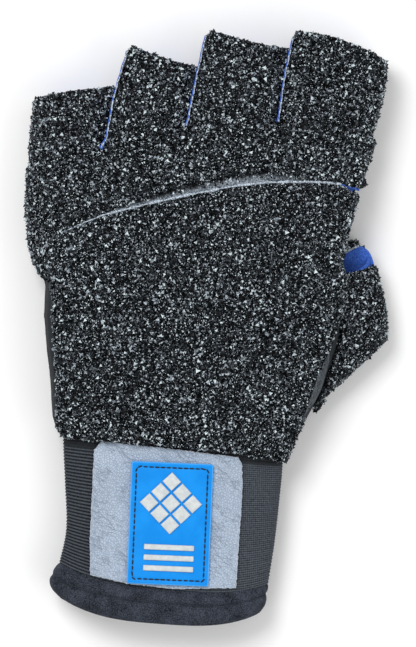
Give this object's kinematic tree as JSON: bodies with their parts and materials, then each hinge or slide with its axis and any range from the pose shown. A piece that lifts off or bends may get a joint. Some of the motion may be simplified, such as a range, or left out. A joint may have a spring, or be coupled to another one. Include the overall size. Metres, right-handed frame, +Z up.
{
  "type": "shooting glove",
  "caption": "Fingerless shooting glove with a granulated rubber back, blue lining, an elastic wrist cuff, a leather patch and a plain moulded label, lying palm down.",
  "frame": {"origin": "centre of the bounding box in plan, at the table the glove lies on", "axes": "+X to the thumb side, +Y from the wrist to the fingertips, +Z up from the palm to the back of the hand"},
  "size_m": [0.1455, 0.2376, 0.035],
  "materials": {
    "crumb_rubber": "matt granulated rubber, open and rough",
    "fabric": "smooth matt stretch fabric",
    "lining": "matt blue knit lining",
    "elastic": "ribbed elastic webbing",
    "hem_fabric": "soft matt tricot",
    "leather": "pebbled, creased, raw cut edge",
    "label_blue": "moulded soft plastic, semi-matt",
    "label_relief": "moulded soft plastic, off-white"
  },
  "bodies": {
    "root": {"finger_panel_top": "crumb_rubber", "finger_panel_under": "crumb_rubber", "back_pad": "crumb_rubber", "thumb_panel": "crumb_rubber", "finger_lining": "lining", "thumb_lining": "lining", "ring_edge_lining": "lining", "middle_edge_lining": "lining", "index_edge_lining": "lining", "hand_shell": "fabric", "cuff_elastic": "elastic", "cuff_hem": "hem_fabric", "leather_patch": "leather", "label_plate": "label_blue", "label_lozenge": "label_relief", "label_bar_1": "label_relief", "label_bar_2": "label_relief", "label_bar_3": "label_relief"}
  },
  "joints": []
}
